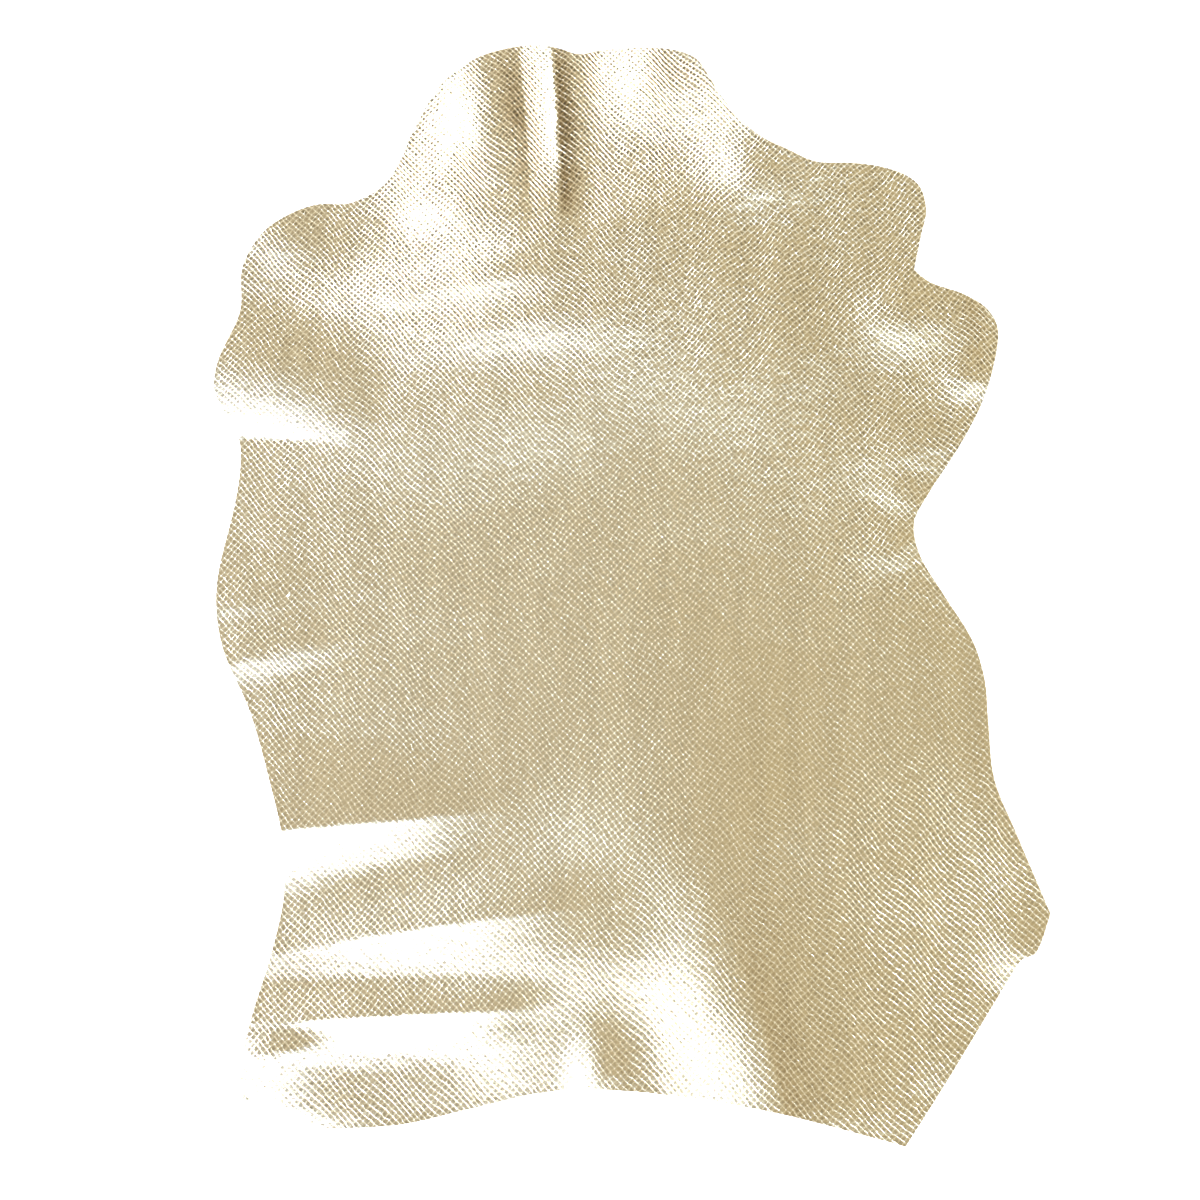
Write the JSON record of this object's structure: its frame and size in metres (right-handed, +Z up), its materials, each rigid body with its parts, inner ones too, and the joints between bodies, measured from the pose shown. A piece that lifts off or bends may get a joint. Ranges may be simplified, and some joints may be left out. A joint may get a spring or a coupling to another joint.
{
  "type": "leather hide",
  "caption": "Whole small leather skin lying flat, grain side up: gold metallic foil over a fine embossed lozenge scale grain, natural irregular outline, low folds at legs and neck.",
  "frame": {"origin": "on the surface the skin lies on, under the middle of its outline's box", "axes": "+Z up out of the grain side, +Y along the back towards the neck, +X towards the animal's right side"},
  "size_m": [0.6862, 0.9036, 0.0129],
  "materials": {
    "foil_leather": "champagne gold metallic foil over an embossed scale grain"
  },
  "bodies": {
    "root": {"hide": "foil_leather"}
  },
  "joints": []
}
